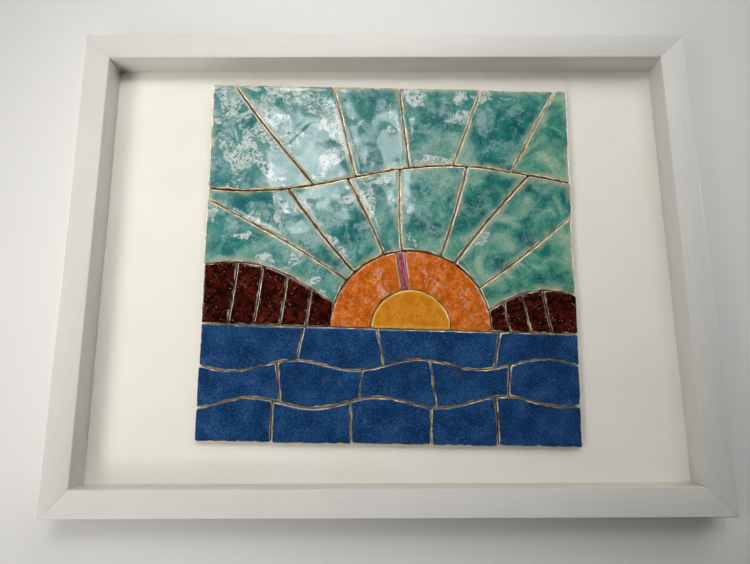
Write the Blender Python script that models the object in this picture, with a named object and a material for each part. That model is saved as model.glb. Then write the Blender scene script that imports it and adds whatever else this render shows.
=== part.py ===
"""Framed ceramic mosaic: hand-cut glazed tiles on a pale card, in a deep white box frame.

Everything is in metres with +Z up. The panel hangs upright and faces -Y. The origin is the
middle of the top rail's rear face, which lies flat on the wall at y = 0.

The picture is cut the way a potter cuts it. One slab of clay is parted along curved lines,
first into sky, sea, hills and sun, then each of those into tiles. Every tile is then drawn in
by half a joint and gets its own small shift, so that the open joints vary as real ones do.
"""

import math
import random

import bmesh
import bpy
from mathutils import Matrix, Vector

# The box frame: outer size, and the rail's section.
FRAME_WIDTH = 0.425
FRAME_HEIGHT = 0.325
FRAME_DEPTH = 0.025
RAIL_FACE = 0.0175
RABBET_WIDTH = 0.0053
RABBET_DEPTH = 0.0068
FRONT_ROUND = 0.0008
REAR_CHAMFER = 0.0005
ROUND_STEPS = 3

# The gap that touching pieces keep, and the sheets that sit in the rabbet.
GAP = 0.0003
SHEET_WIDTH = 0.4
SHEET_HEIGHT = 0.3
CARD_THICKNESS = 0.002
BACK_THICKNESS = 0.003

# Places along Y. The front of the frame is at -FRAME_DEPTH and the wall is at 0.
CARD_FRONT = -RABBET_DEPTH + GAP
TILE_BACK = CARD_FRONT - GAP
BACK_FRONT = CARD_FRONT + CARD_THICKNESS + GAP

# The middle of the frame, below the origin.
CENTRE_Z = (RAIL_FACE - RABBET_WIDTH) / 2 - FRAME_HEIGHT / 2

# Corners of the clay slab from the middle of the frame: X to the right, Y up.
SLAB = (
    Vector((-0.1238, -0.1178)),
    Vector((0.1250, -0.1228)),
    Vector((0.1315, 0.1260)),
    Vector((-0.1250, 0.1324)),
)
REACH = 0.4

# The tiles.
TILE_THICKNESS = 0.005
THICKNESS_SPREAD = 0.0003
HALF_JOINT = 0.00034
JOINT_SPREAD = 0.00008
TILE_SHIFT = 0.0001
TILE_TWIST = math.radians(0.06)
EDGE_STEP = 0.0006
SEED = 11
RIM = 0.0009
SLIVER_RIM = 0.0006
SHORTEST_EDGE = 0.0024
STEP = 0.0065

# The picture: horizon, sun, hills, wind line, rays and waves.
HORIZON = -0.046
HORIZON_FALL = -0.004
SUN_X = 0.016
SUN_RADIUS = 0.027
GLOW_RADIUS = 0.054
LEFT_HILL = (0.016, 0.039, 0.013)
RIGHT_HILL = (0.014, 0.025, 0.009)
WIND_HEIGHT = 0.060
WIND_SWELL = 0.009
WIND_LENGTH = 0.270
LOW_RAYS = (35, 52, 71, 92, 113, 130, 146)
HIGH_RAYS = (57, 74, 91, 108, 124)
RAY_BEND = 0.004
RAY_WAVE = 0.28
WAVE_ROWS = (4, 5, 5)
WAVE_SWELL = 0.0035
WAVE_LENGTH = 0.082
WAVE_PHASE = 2.1
WAVE_JOINT_LEAN = 0.009
BRICK_SHIFT = 0.12
LEFT_SLICES = 5
RIGHT_SLICES = 4
SLICE_LEAN = 0.007
SLIVER_ANGLE = math.radians(97)
SLIVER_INNER = 0.0034
SLIVER_OUTER = 0.0048

# name: (colour, roughness)
FINISHES = {
    "white_lacquer": ((0.80, 0.79, 0.76, 1.0), 0.42),
    "mount_card": ((0.76, 0.73, 0.66, 1.0), 0.95),
    "back_board": ((0.33, 0.22, 0.13, 1.0), 0.85),
    "turquoise_glaze": ((0.08, 0.29, 0.28, 1.0), 0.14),
    "cobalt_glaze": ((0.010, 0.042, 0.115, 1.0), 0.10),
    "oxblood_glaze": ((0.035, 0.008, 0.005, 1.0), 0.08),
    "orange_glaze": ((0.46, 0.14, 0.02, 1.0), 0.22),
    "ochre_glaze": ((0.45, 0.20, 0.02, 1.0), 0.25),
    "raspberry_glaze": ((0.28, 0.03, 0.05, 1.0), 0.20),
}


def clear_scene():
    """Remove every object, so that the script can be run again."""
    for old in list(bpy.data.objects):
        bpy.data.objects.remove(old, do_unlink=True)


def make_collection(name):
    """A collection of this name in the scene, made if it isn't there."""
    found = bpy.data.collections.get(name) or bpy.data.collections.new(name)
    if name not in bpy.context.scene.collection.children:
        bpy.context.scene.collection.children.link(found)
    return found


def finish(name):
    """The material of this name, made the first time that it is asked for."""
    made = bpy.data.materials.get(name)
    if made is None:
        colour, roughness = FINISHES[name]
        made = bpy.data.materials.new(name)
        made.use_nodes = True
        shader = made.node_tree.nodes["Principled BSDF"]
        shader.inputs["Base Color"].default_value = colour
        shader.inputs["Roughness"].default_value = roughness
        shader.inputs["Metallic"].default_value = 0.0
        made.diffuse_color = colour
    return made


def flat_curve(name, outline, half_thickness, rim=0.0):
    """A filled 2D curve on this outline. A rim eases its edges and adds to its thickness."""
    curve = bpy.data.curves.new(name, "CURVE")
    curve.dimensions = "2D"
    curve.fill_mode = "BOTH"
    curve.extrude = half_thickness - rim
    curve.bevel_depth = rim
    curve.bevel_resolution = 0
    curve.offset = -rim
    spline = curve.splines.new("POLY")
    spline.points.add(len(outline) - 1)
    for point, place in zip(spline.points, outline):
        point.co = (place.x, place.y, 0.0, 1.0)
    spline.use_cyclic_u = True
    return bpy.data.objects.new(name, curve)


# ---------------------------------------------------------------------------- frame and back


def arc(centre_u, centre_v, radius, start, end):
    """Points of an arc, with its angles in degrees."""
    points = []
    for step in range(ROUND_STEPS + 1):
        angle = math.radians(start + (end - start) * step / ROUND_STEPS)
        across = Vector((math.cos(angle), math.sin(angle)))
        points.append(Vector((centre_u, centre_v)) + radius * across)
    return points


def rail_section():
    """The rail's section. X runs inward from its outer side, and Y runs back from its face."""
    inner = RAIL_FACE - FRONT_ROUND
    shoulder = FRAME_DEPTH - RABBET_DEPTH
    foot = RAIL_FACE - RABBET_WIDTH
    section = arc(FRONT_ROUND, FRONT_ROUND, FRONT_ROUND, 180, 270)
    section += arc(inner, FRONT_ROUND, FRONT_ROUND, 270, 360)
    section += [Vector((RAIL_FACE, shoulder)), Vector((foot, shoulder))]
    section += [Vector((foot, FRAME_DEPTH)), Vector((REAR_CHAMFER, FRAME_DEPTH))]
    section.append(Vector((0.0, FRAME_DEPTH - REAR_CHAMFER)))
    return section


def mitred_mesh(name, length):
    """The section drawn out to this length along Z, and sawn at 45 degrees at both ends."""
    source = flat_curve(name + "_section", rail_section(), length / 2)
    bpy.context.scene.collection.objects.link(source)
    graph = bpy.context.evaluated_depsgraph_get()
    mesh = bpy.data.meshes.new_from_object(source.evaluated_get(graph))
    bpy.data.objects.remove(source, do_unlink=True)
    mesh.name = name
    block = bmesh.new()
    block.from_mesh(mesh)
    bmesh.ops.remove_doubles(block, verts=block.verts, dist=0.00001)
    for end in (-1, 1):
        bmesh.ops.bisect_plane(
            block,
            geom=[*block.verts, *block.edges, *block.faces],
            plane_co=(0.0, 0.0, end * (length / 2 - GAP / math.sqrt(2))),
            plane_no=(1.0, 0.0, end),
            clear_outer=True,
        )
        sawn = [edge for edge in block.edges if edge.is_boundary]
        bmesh.ops.holes_fill(block, edges=sawn, sides=0)
    bmesh.ops.recalc_face_normals(block, faces=block.faces)
    block.to_mesh(mesh)
    block.free()
    return mesh


def make_rails(collection, parent):
    """The four rails. Each one's inward direction says where it goes."""
    sides = {
        "rail_top": (Vector((0, 0, -1)), FRAME_WIDTH, FRAME_HEIGHT),
        "rail_bottom": (Vector((0, 0, 1)), FRAME_WIDTH, FRAME_HEIGHT),
        "rail_left": (Vector((1, 0, 0)), FRAME_HEIGHT, FRAME_WIDTH),
        "rail_right": (Vector((-1, 0, 0)), FRAME_HEIGHT, FRAME_WIDTH),
    }
    back = Vector((0, 1, 0))
    for name, (inward, length, across) in sides.items():
        mesh = mitred_mesh(name, length)
        mesh.materials.append(finish("white_lacquer"))
        mesh.shade_smooth()
        mesh.set_sharp_from_angle(angle=math.radians(40))
        rail = bpy.data.objects.new(name, mesh)
        turn = Matrix((inward, back, inward.cross(back))).transposed()
        rail.rotation_euler = turn.to_euler()
        rail.location = inward * (-across / 2) - back * FRAME_DEPTH
        rail.parent = parent
        collection.objects.link(rail)


def make_sheet(collection, parent, name, front, thickness, material):
    """A flat sheet in the rabbet, with its front at this Y."""
    bpy.ops.mesh.primitive_cube_add(size=1.0)
    sheet = bpy.context.active_object
    sheet.name = name
    sheet.data.name = name
    sheet.data.transform(Matrix.Diagonal((SHEET_WIDTH, thickness, SHEET_HEIGHT, 1.0)))
    sheet.location = (0.0, front + thickness / 2, 0.0)
    sheet.data.materials.append(finish(material))
    for other in list(sheet.users_collection):
        other.objects.unlink(sheet)
    sheet.parent = parent
    collection.objects.link(sheet)


# ------------------------------------------------------------------------- cutting the slab


def crossing(a, b, c, d):
    """How far along a-b and along c-d the two segments meet, or None."""
    first, second = b - a, d - c
    cross = first.cross(second)
    if abs(cross) < 1e-12:
        return None
    along = (c - a).cross(second) / cross
    other = (c - a).cross(first) / cross
    if 0.0 <= along < 1.0 and 0.0 <= other < 1.0:
        return along, other
    return None


def cut(piece, line):
    """Part a piece, whose outline runs anticlockwise, along a line: (left of it, right of it)."""
    found = []
    for index in range(len(line) - 1):
        for edge, start in enumerate(piece):
            end = piece[(edge + 1) % len(piece)]
            met = crossing(line[index], line[index + 1], start, end)
            if met:
                found.append((index + met[0], edge + met[1], start.lerp(end, met[1])))
    found.sort(key=lambda meeting: meeting[0])
    (enter, enter_edge, enter_point), (leave, leave_edge, leave_point) = found[:2]
    inside = [line[i] for i in range(math.ceil(enter), math.floor(leave) + 1)]
    chord = [enter_point, *inside, leave_point]

    def along_outline(start, stop):
        first = math.floor(start) + 1
        last = math.floor(stop)
        if stop < start:
            last += len(piece)
        return [piece[i % len(piece)] for i in range(first, last + 1)]

    left = chord + along_outline(leave_edge, enter_edge)
    right = chord[::-1] + along_outline(enter_edge, leave_edge)
    return left, right


def turn_at(outline, index):
    """How far the outline turns at this point, either way."""
    before = outline[index] - outline[index - 1]
    after = outline[(index + 1) % len(outline)] - outline[index]
    return abs(before.angle_signed(after, 0.0))


def tidy(outline):
    """Drop points that crowd a neighbour, the flatter of the two first."""
    kept = list(outline)
    while True:
        edges = [(kept[i] - kept[i - 1]).length for i in range(len(kept))]
        shortest = min(range(len(kept)), key=lambda i: edges[i])
        if edges[shortest] >= SHORTEST_EDGE:
            return kept
        pair = (shortest - 1) % len(kept), shortest
        del kept[min(pair, key=lambda i: turn_at(kept, i))]


def middle(outline):
    """The outline's centre of area."""
    area, total = 0.0, Vector((0.0, 0.0))
    for index, point in enumerate(outline):
        before = outline[index - 1]
        part = before.cross(point) / 2
        area += part
        total += (before + point) * (part / 3)
    return total / area


# ------------------------------------------------------------------------------ the picture


def horizon_at(x):
    """The height of the horizon, which falls slightly to the right."""
    return HORIZON + HORIZON_FALL * x / SLAB[1].x


def sun_centre():
    return Vector((SUN_X, horizon_at(SUN_X)))


def level_line(height_at, swell=0.0, length=1.0, phase=0.0):
    """A line from left to right across the slab, which may swell like a wave."""
    steps = math.ceil(2 * SLAB[2].x / STEP)
    line = []
    for step in range(-2, steps + 3):
        x = (2 * step / steps - 1) * SLAB[2].x
        rise = swell * math.sin(2 * math.pi * x / length + phase)
        line.append(Vector((x, height_at(x) + rise)))
    return line


def half_circle(radius):
    """A half circle about the sun, from just under the horizon on its right to its left."""
    steps = max(8, round(math.pi * radius / STEP))
    line = []
    for step in range(-1, steps + 2):
        angle = math.pi * step / steps
        line.append(sun_centre() + radius * Vector((math.cos(angle), math.sin(angle))))
    return line


def ray(degrees, bend):
    """A line out from the sun, bowed to one side."""
    angle = math.radians(degrees)
    out = Vector((math.cos(angle), math.sin(angle)))
    side = Vector((-out.y, out.x))
    steps = math.ceil(REACH / STEP)
    line = []
    for step in range(steps + 1):
        far = REACH * step / steps
        bow = bend * math.sin(2 * math.pi * far / RAY_WAVE)
        line.append(sun_centre() + out * far + side * bow)
    return line


def short_line(start, end, bow):
    """A bowed line between two points."""
    side = (end - start).orthogonal().normalized()
    steps = math.ceil((end - start).length / STEP)
    line = []
    for step in range(steps + 1):
        part = step / steps
        line.append(start.lerp(end, part) + side * (bow * math.sin(math.pi * part)))
    return line


def cut_sky(sky):
    """Fourteen sky tiles: rays under the wind line, and more, staggered, above it."""
    wind = level_line(lambda x: WIND_HEIGHT, WIND_SWELL, WIND_LENGTH, 0.6)
    high, low = cut(sky, wind)
    tiles = []
    for band, rays in ((low, LOW_RAYS), (high, HIGH_RAYS)):
        for number, degrees in enumerate(rays):
            bend = RAY_BEND * (1 if number % 2 else -1)
            band, tile = cut(band, ray(degrees, bend))
            tiles.append(tile)
        tiles.append(band)
    return tiles


def cut_sea(sea, rng):
    """Fourteen sea tiles, in rows between lines that swell like waves."""
    bottom = SLAB[0].y
    rows = len(WAVE_ROWS)
    tiles = []
    for row, count in enumerate(WAVE_ROWS):
        strip = sea
        if row < rows - 1:
            height = HORIZON + (bottom - HORIZON) * (row + 1) / rows
            line = level_line(lambda x: height, WAVE_SWELL, WAVE_LENGTH, WAVE_PHASE * row)
            strip, sea = cut(sea, line)
        for number in range(1, count):
            place = number + BRICK_SHIFT * (row % 2) + rng.uniform(-0.1, 0.1)
            x = (2 * place / count - 1) * SLAB[1].x
            lean = WAVE_JOINT_LEAN * (1 if (row + number) % 2 else -1)
            foot = Vector((x, bottom - STEP))
            head = Vector((x + lean, HORIZON + STEP))
            tile, strip = cut(strip, short_line(foot, head, lean / 3))
            tiles.append(tile)
        tiles.append(strip)
    return tiles


def skyline(side, hill):
    """A hill's skyline, from the glow to the slab's edge on this side (-1 left, 1 right)."""
    near, far, crown = hill
    foot = SUN_X + side * math.sqrt(GLOW_RADIUS**2 - near**2)
    edge = side * SLAB[2].x
    steps = math.ceil(abs(edge - foot) / STEP)
    line = []
    for step in range(-1, steps + 2):
        part = step / steps
        x = foot + (edge - foot) * part
        rise = near + (far - near) * part + crown * math.sin(math.pi * part)
        line.append(Vector((x, horizon_at(x) + rise)))
    return line


def slice_hill(hill, side, shape, count):
    """Part a hill into tiles by leaning cuts."""
    near = SUN_X + side * GLOW_RADIUS
    far = side * SLAB[1].x
    top = sum(shape) + STEP
    tiles = []
    for number in range(1, count):
        x = near + (far - near) * number / count
        foot = Vector((x, horizon_at(x) - STEP))
        head = Vector((x - side * SLICE_LEAN, horizon_at(x) + top))
        line = short_line(foot, head, side * SLICE_LEAN / 4)
        left, right = cut(hill, line)
        tile, hill = (right, left) if side < 0 else (left, right)
        tiles.append(tile)
    return [*tiles, hill]


def cut_glow(glow):
    """Two glow tiles with the thin sliver between them."""
    out = Vector((math.cos(SLIVER_ANGLE), math.sin(SLIVER_ANGLE)))
    side = Vector((-out.y, out.x))
    tiles = []
    for way in (-1, 1):
        start = sun_centre() + side * (way * SLIVER_INNER / 2)
        end = sun_centre() + out * REACH
        end += side * (way * (SLIVER_OUTER - SLIVER_INNER) * REACH / GLOW_RADIUS)
        left, right = cut(glow, [start, end])
        tile, glow = (right, left) if way < 0 else (left, right)
        tiles.append(tile)
    return tiles, glow


def cut_picture(rng):
    """Every tile's outline and glaze, by name."""
    slab = [corner.copy() for corner in SLAB]
    sky, sea = cut(slab, level_line(horizon_at))
    sky, disc = cut(sky, half_circle(SUN_RADIUS))[::-1]
    sky, glow = cut(sky, half_circle(GLOW_RADIUS))[::-1]
    left_line = skyline(-1, LEFT_HILL)
    right_line = skyline(1, RIGHT_HILL)
    left_hill, sky = cut(sky, left_line)
    sky, right_hill = cut(sky, right_line)
    glow_tiles, sliver = cut_glow(glow)
    hills = slice_hill(left_hill, -1, LEFT_HILL, LEFT_SLICES)
    hills += slice_hill(right_hill, 1, RIGHT_HILL, RIGHT_SLICES)
    groups = (
        ("sky_tile", "turquoise_glaze", cut_sky(sky)),
        ("sea_tile", "cobalt_glaze", cut_sea(sea, rng)),
        ("hill_tile", "oxblood_glaze", hills),
        ("glow_tile", "orange_glaze", glow_tiles),
    )
    tiles = {"sun_tile": (disc, "ochre_glaze"), "sliver_tile": (sliver, "raspberry_glaze")}
    for stem, glaze, outlines in groups:
        for number, outline in enumerate(outlines, 1):
            tiles[f"{stem}_{number:02d}"] = (outline, glaze)
    return tiles


def edge_push(outline, rng):
    """How far a tile at the slab's edge stands out past its neighbours."""
    push = Vector((0.0, 0.0))
    for index, corner in enumerate(SLAB):
        along = (SLAB[(index + 1) % len(SLAB)] - corner).normalized()
        outward = Vector((along.y, -along.x))
        if max((point - corner).dot(outward) for point in outline) > -GAP:
            push += outward * rng.uniform(0.0, EDGE_STEP)
    return push


def make_tiles(collection, parent):
    """One flat curve for each tile, glazed side to the front."""
    rng = random.Random(SEED)
    for name, (outline, glaze) in cut_picture(rng).items():
        outline = tidy(outline)
        centre = middle(outline)
        rim = SLIVER_RIM if name == "sliver_tile" else RIM
        thickness = TILE_THICKNESS + rng.uniform(-THICKNESS_SPREAD, THICKNESS_SPREAD)
        tile = flat_curve(name, [p - centre for p in outline], thickness / 2, rim)
        tile.data.offset -= HALF_JOINT + rng.uniform(-JOINT_SPREAD, JOINT_SPREAD)
        tile.data.materials.append(finish(glaze))
        shift = Vector([rng.uniform(-TILE_SHIFT, TILE_SHIFT) for _ in range(2)])
        place = centre + shift + edge_push(outline, rng)
        twist = rng.uniform(-TILE_TWIST, TILE_TWIST)
        tile.location = (place.x, TILE_BACK - thickness / 2, place.y)
        tile.rotation_euler = (math.radians(90), twist, 0.0)
        tile.parent = parent
        collection.objects.link(tile)


def main():
    clear_scene()
    collection = make_collection("mosaic_panel")
    middle_point = bpy.data.objects.new("panel_middle", None)
    middle_point.location = (0.0, 0.0, CENTRE_Z)
    collection.objects.link(middle_point)
    make_rails(collection, middle_point)
    make_sheet(
        collection, middle_point, "mount_card", CARD_FRONT, CARD_THICKNESS, "mount_card"
    )
    make_sheet(
        collection, middle_point, "back_panel", BACK_FRONT, BACK_THICKNESS, "back_board"
    )
    make_tiles(collection, middle_point)


main()
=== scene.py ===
# %% [markdown]
# # A framed mosaic of hand-cut, glazed tiles
# The real object is a deep white box frame that hangs on a wall. A pale card lies at the bottom
# of it. Stoneware tiles are fixed on the card with open joints between them, so one sees the
# clay sides of each tile and, where a joint is wide, the card itself.
# The solid model holds every piece at its real size and place: four rails, the card, the back
# panel and one solid for each tile. This script loads it and gives each piece its finish. Each
# tile is also made again as a fine mesh on its solid's own outline, because the things that make
# a glazed tile look real are small: a melted rim, a surface that is never quite flat, and glaze
# that runs thin at the edges.

# %% Load the solid model
import math
import random

import bmesh
import bpy
import numpy as np
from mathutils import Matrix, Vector, geometry, noise


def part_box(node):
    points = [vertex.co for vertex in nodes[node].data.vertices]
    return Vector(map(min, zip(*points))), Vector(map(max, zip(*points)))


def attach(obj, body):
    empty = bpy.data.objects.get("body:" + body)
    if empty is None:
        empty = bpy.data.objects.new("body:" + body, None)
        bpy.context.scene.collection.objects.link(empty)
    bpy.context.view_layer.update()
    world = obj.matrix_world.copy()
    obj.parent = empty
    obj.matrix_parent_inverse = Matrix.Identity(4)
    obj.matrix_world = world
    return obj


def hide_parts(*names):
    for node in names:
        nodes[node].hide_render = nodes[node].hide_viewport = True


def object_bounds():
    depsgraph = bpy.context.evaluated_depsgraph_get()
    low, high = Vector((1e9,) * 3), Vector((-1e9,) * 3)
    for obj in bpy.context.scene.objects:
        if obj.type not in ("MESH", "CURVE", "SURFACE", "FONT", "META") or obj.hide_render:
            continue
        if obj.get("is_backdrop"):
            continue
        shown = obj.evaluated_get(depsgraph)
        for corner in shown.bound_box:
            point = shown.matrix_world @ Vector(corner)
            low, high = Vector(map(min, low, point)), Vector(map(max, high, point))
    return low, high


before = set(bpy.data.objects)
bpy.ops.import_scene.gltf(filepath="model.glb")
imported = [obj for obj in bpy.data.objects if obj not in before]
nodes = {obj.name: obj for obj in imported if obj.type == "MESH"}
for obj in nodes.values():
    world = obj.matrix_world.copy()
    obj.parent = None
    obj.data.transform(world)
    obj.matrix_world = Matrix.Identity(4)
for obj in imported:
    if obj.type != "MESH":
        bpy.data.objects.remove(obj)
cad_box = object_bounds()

MM = 0.001
lowest, highest = cad_box
middle = (lowest + highest) / 2
print(f"panel {[round(side / MM, 1) for side in highest - lowest]} mm, {len(nodes)} solids")

# %% [markdown]
# ## Colours and shader nodes
# A colour that is read off a real surface is an sRGB value, while a shader counts in linear
# light, so every hex value goes through one function. A shader tree is long to write out by
# hand. One small function adds a node with its settings and links, and hands back the output
# that the next node needs. A material can then be read from top to bottom, like a recipe.


# %% Two helpers
def srgb(text):
    """A hex colour as linear red, green, blue and alpha."""
    parts = [int(text[place : place + 2], 16) / 255 for place in (1, 3, 5)]
    linear = [p / 12.92 if p <= 0.04045 else ((p + 0.055) / 1.055) ** 2.4 for p in parts]
    return (*linear, 1.0)


def add(tree, kind, inputs=None, out=0, stops=(), **settings):
    """Add a shader node. An input takes a number, a hex colour or another node's output."""
    made = tree.nodes.new("ShaderNode" + kind)
    for name, value in settings.items():
        setattr(made, name, value)
    for key, value in (inputs or {}).items():
        if isinstance(value, bpy.types.NodeSocket):
            tree.links.new(value, made.inputs[key])
        else:
            made.inputs[key].default_value = srgb(value) if isinstance(value, str) else value
    for index, (place, colour) in enumerate(stops):
        ramp = made.color_ramp.elements
        stop = ramp[index] if index < 2 else ramp.new(place)
        stop.position, stop.color = place, srgb(colour)
    return made.outputs[out] if made.outputs else made


# A map range takes its value at input 0, its start and end at 1 and 2, and what they become at
# 3 and 4. A mix takes its share at input 0, and its numbers at 2 and 3 or its colours at 6 and 7.
SOFT = {"interpolation_type": "SMOOTHSTEP"}
COLOURS = {"data_type": "RGBA", "out": 2}


def new_material(name):
    """An empty material and its tree, ready for a shader."""
    made = bpy.data.materials.new(name)
    made.use_nodes = True
    made.node_tree.nodes.clear()
    return made, made.node_tree


print("white card in linear light:", [round(part, 3) for part in srgb("#eeebe1")[:3]])

# %% [markdown]
# ## The camera
# The panel is seen from close by, a little below its middle and tilted up, with a wide lens.
# That makes the bottom rail look longer than the top one. The camera comes first, so that every
# later finish can be judged from the place where it is seen.

# %% Camera
CAMERA_AWAY = 354 * MM
CAMERA_BELOW = 84 * MM
CAMERA_LEFT = 9 * MM
CAMERA_TURN = (100.737, 0.168, -0.149)
LENS_MM = 26.5
SENSOR_MM = 36.0

camera = bpy.data.objects.new("camera", bpy.data.cameras.new("camera"))
camera.data.lens = LENS_MM
camera.data.sensor_width = SENSOR_MM
camera.location = (middle.x - CAMERA_LEFT, lowest.y - CAMERA_AWAY, middle.z - CAMERA_BELOW)
camera.rotation_euler = [math.radians(angle) for angle in CAMERA_TURN]
bpy.context.scene.collection.objects.link(camera)
bpy.context.scene.camera = camera
bpy.context.scene.view_settings.view_transform = "Standard"
print(f"camera {CAMERA_AWAY / MM:.0f} mm in front of the frame")

# %% [markdown]
# ## The outline of a tile
# A tile was cut from a rolled slab with a knife, dried, fired, glazed and fired again. Its
# outline in the solid model is a ring of straight steps. The real cut is one smooth stroke that
# wavers slightly, and the corners slump a little. The outline could be drawn again by hand, but
# then it might not fit its joints. So the ring is read from the solid, its steps are smoothed by
# averaging neighbours a few times, and a small waver is added along it.

# %% Read a tile's outline from its solid
MERGE = 0.001 * MM
WALL_FACING = 0.3


def outline_of(solid):
    """The outline in mm, X right and Z up, anticlockwise, with the front and back Y."""
    block = bmesh.new()
    block.from_mesh(solid.data)
    bmesh.ops.remove_doubles(block, verts=block.verts, dist=MERGE)
    block.normal_update()
    walls = [face for face in block.faces if abs(face.normal.y) < WALL_FACING]
    shoulder = min(vert.co.y for face in walls for vert in face.verts)
    ring = [e for e in block.edges if all(abs(v.co.y - shoulder) < MERGE for v in e.verts)]
    beside = {}
    for edge in ring:
        first, second = edge.verts
        beside.setdefault(first, []).append(second)
        beside.setdefault(second, []).append(first)
    walk = list(ring[0].verts)
    while len(walk) < len(beside):
        walk.append(next(v for v in beside[walk[-1]] if v is not walk[-2]))
    points = np.array([(v.co.x / MM, v.co.z / MM) for v in walk])
    depths = [v.co.y for v in block.verts]
    block.free()
    ahead = np.roll(points, -1, axis=0)
    area = (points[:, 0] * ahead[:, 1] - ahead[:, 0] * points[:, 1]).sum()
    return (points if area > 0 else points[::-1]), min(depths), max(depths)


print(f"the first sea tile's outline has {len(outline_of(nodes['sea_tile_01'])[0])} points")

# %% Smooth it as a knife cuts it
RING_STEP = 0.4
SMOOTHING = 8
WAVER = 0.18
WAVER_LENGTH = 6.0
OUTLINE_STEP = 0.9


def respaced(ring, step):
    """The closed ring again, with its points evenly spaced."""
    closed = np.vstack([ring, ring[:1]])
    along = np.concatenate([[0], np.cumsum(np.linalg.norm(np.diff(closed, axis=0), axis=1))])
    count = round(along[-1] / step)
    wanted = np.arange(count) * along[-1] / count
    return np.stack([np.interp(wanted, along, closed[:, axis]) for axis in (0, 1)], axis=1)


def outward(ring):
    """Each point's direction out of the ring, which runs anticlockwise."""
    along = np.roll(ring, -1, axis=0) - np.roll(ring, 1, axis=0)
    out = np.stack([along[:, 1], -along[:, 0]], axis=1)
    return out / np.linalg.norm(out, axis=1, keepdims=True)


def waves(points, length, seed):
    """Smooth noise between about -0.5 and 0.5, with waves of this length in mm."""
    return np.array([noise.noise(Vector((*(point / length), seed))) for point in points])


def hand_cut(points, seed):
    """The outline as a knife would have cut it."""
    ring = respaced(points, RING_STEP)
    for _ in range(SMOOTHING):
        ring = (np.roll(ring, 1, axis=0) + 2 * ring + np.roll(ring, -1, axis=0)) / 4
    ring = respaced(ring, OUTLINE_STEP)
    return ring + outward(ring) * (WAVER * waves(ring, WAVER_LENGTH, seed))[:, None]


print(f"smoothed: {len(hand_cut(outline_of(nodes['sea_tile_01'])[0], 1))} points")

# %% [markdown]
# ## Points inside the outline
# Melted glaze pulls itself round at the rim and gathers in a low bead just inside it. A square
# grid would meet a curved outline in steps and spoil that rim. Here the points are laid in rings
# that follow the outline, close together at the rim and further apart inside, then in a
# honeycomb, and a triangulation that keeps the outline joins them.

# %% Fill an outline
RINGS = (0.10, 0.28, 0.52, 0.85, 1.25, 1.8, 2.6)
RING_KEEP = 0.93
GRID_STEP = 1.6
GRID_START = 3.3
GRID_JITTER = 0.15
JOINED = 1e-5


def edge_distance(points, ring):
    """Each point's distance to the outline, in mm."""
    best = np.full(len(points), np.inf)
    for start, step in zip(ring, np.roll(ring, -1, axis=0) - ring):
        part = np.clip(((points - start) @ step) / (step @ step), 0, 1)
        gap = points - (start + part[:, None] * step)
        best = np.minimum(best, (gap**2).sum(axis=1))
    return np.sqrt(best)


def is_inside(points, ring):
    """Which points lie inside the outline."""
    inside = np.zeros(len(points), bool)
    for (x1, z1), (x2, z2) in zip(ring, np.roll(ring, -1, axis=0)):
        if z1 != z2:
            spans = (z1 > points[:, 1]) != (z2 > points[:, 1])
            inside ^= spans & (points[:, 0] < (x2 - x1) * (points[:, 1] - z1) / (z2 - z1) + x1)
    return inside


def fill(ring, rng):
    """Points and triangles that fill the outline. The outline's own points come first."""
    sets = [ring]
    for depth in RINGS:
        inner = ring - outward(ring) * depth
        keep = is_inside(inner, ring) & (edge_distance(inner, ring) > RING_KEEP * depth)
        sets.append(inner[keep])
    low, high = ring.min(axis=0), ring.max(axis=0)
    rows = []
    for row, z in enumerate(np.arange(low[1], high[1], GRID_STEP * math.sqrt(0.75))):
        across = np.arange(low[0] + GRID_STEP / 2 * (row % 2), high[0], GRID_STEP)
        rows += [(x + rng.uniform(-1, 1) * GRID_JITTER, z) for x in across]
    grid = np.array(rows)
    sets.append(grid[is_inside(grid, ring) & (edge_distance(grid, ring) > GRID_START)])
    points = [Vector(point) for point in np.vstack(sets)]
    found = geometry.delaunay_2d_cdt(points, [], [list(range(len(ring)))], 1, JOINED)
    places, triangles, sources = found[0], found[2], found[3]
    now = {old: new for new, olds in enumerate(sources) for old in olds}
    rim = [now[old] for old in range(len(ring))]
    order = rim + sorted(set(range(len(places))) - set(rim))
    rank = {new: place for place, new in enumerate(order)}
    flat = np.array([places[new][:] for new in order])
    return flat, [[rank[corner] for corner in triangle] for triangle in triangles]


points, triangles = fill(hand_cut(outline_of(nodes["sun_tile"])[0], 1), random.Random(1))
print(f"the sun's face: {len(points)} points, {len(triangles)} triangles")

# %% [markdown]
# ## The shape of the glazed face
# The clay was rolled and pressed by hand, and the glaze lies on it like a thick syrup. These
# gentle swells are what bends the reflection of a window, so they are made in the mesh and not
# painted on as bump. They come in three lengths, from the slab's own waves down to the ripples
# of the glaze, and all of them calm down towards the rim. Some tiles also carry a long, shallow
# mark of a tool or a fold. Its start and end are shares of the tile's width and height.

# %% Depth of each point
RIM_RADIUS = 0.85
BEAD_HEIGHT = 0.08
BEAD_PLACE = 1.7
BEAD_WIDTH = 0.9
SWELLS = ((27.0, 0.42), (11.0, 0.15), (5.0, 0.030))
TILT = 0.006
CALM_RIM = 0.5
CALM_REACH = 3.0
TOOL_MARKS = {
    "sky_tile_02": ((0.20, 0.75), (0.55, 0.35)),
    "sky_tile_08": ((0.55, 0.30), (0.85, 0.55)),
    "sky_tile_13": ((0.35, 0.30), (0.62, 0.62)),
    "sky_tile_14": ((0.18, 0.80), (0.30, 0.42)),
    "sea_tile_05": ((0.30, 0.35), (0.62, 0.60)),
    "sea_tile_12": ((0.40, 0.30), (0.80, 0.55)),
}
MARK_DEPTH = 0.26
MARK_WIDTH = 1.0
BURR_HEIGHT = 0.4
BURR_PLACE = 1.8


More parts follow.
